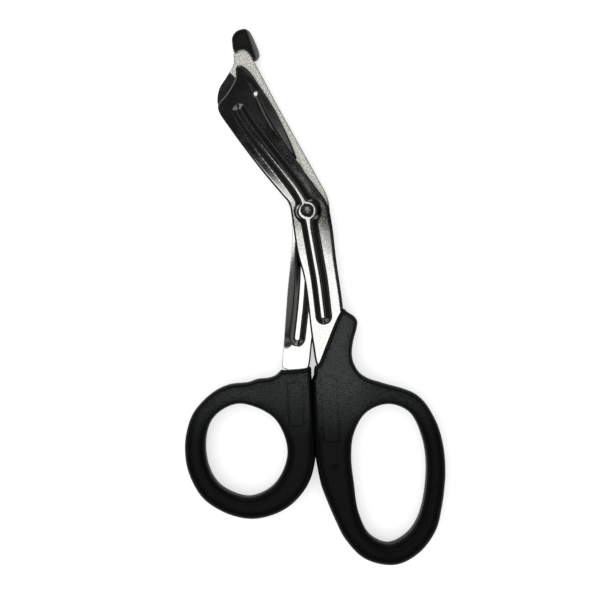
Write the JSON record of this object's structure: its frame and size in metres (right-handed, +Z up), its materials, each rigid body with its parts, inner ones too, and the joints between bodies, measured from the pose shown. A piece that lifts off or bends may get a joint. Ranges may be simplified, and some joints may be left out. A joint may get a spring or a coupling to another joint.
{
  "type": "tape scissors",
  "caption": "Angled bandage and tape scissors with pressed steel blades on a rivet, black moulded finger rings and a blunt capped lower tip.",
  "frame": {"origin": "middle of the box round the closed scissors, on the surface they lie on", "axes": "+Y along the scissors towards the blades, +X towards the finger handle, +Z up out of the surface, towards the upper blade"},
  "size_m": [0.0884, 0.1816, 0.009],
  "materials": {
    "polished_steel": "polished stainless sheet with a fine grain",
    "satin_steel": "satin, finely blasted stainless sheet",
    "rivet_steel": "pressed, with a slightly rough rolled end",
    "black_moulding": "fine moulded grain, semi-matte",
    "black_cap": "smooth, low gloss"
  },
  "bodies": {
    "lower_half": {"lower_blade": "satin_steel", "thumb_handle": "black_moulding", "tip_guard": "black_cap", "pivot_rivet": "rivet_steel"},
    "upper_half": {"upper_blade": "polished_steel", "finger_handle": "black_moulding"}
  },
  "joints": [
    {"name": "blade_pivot", "type": "hinge", "parent": "lower_half", "child": "upper_half", "pos_m": [-0.00278, 0.02911, 0.0045], "axis": [0, 0, 1], "range_deg": [0, 90]}
  ]
}
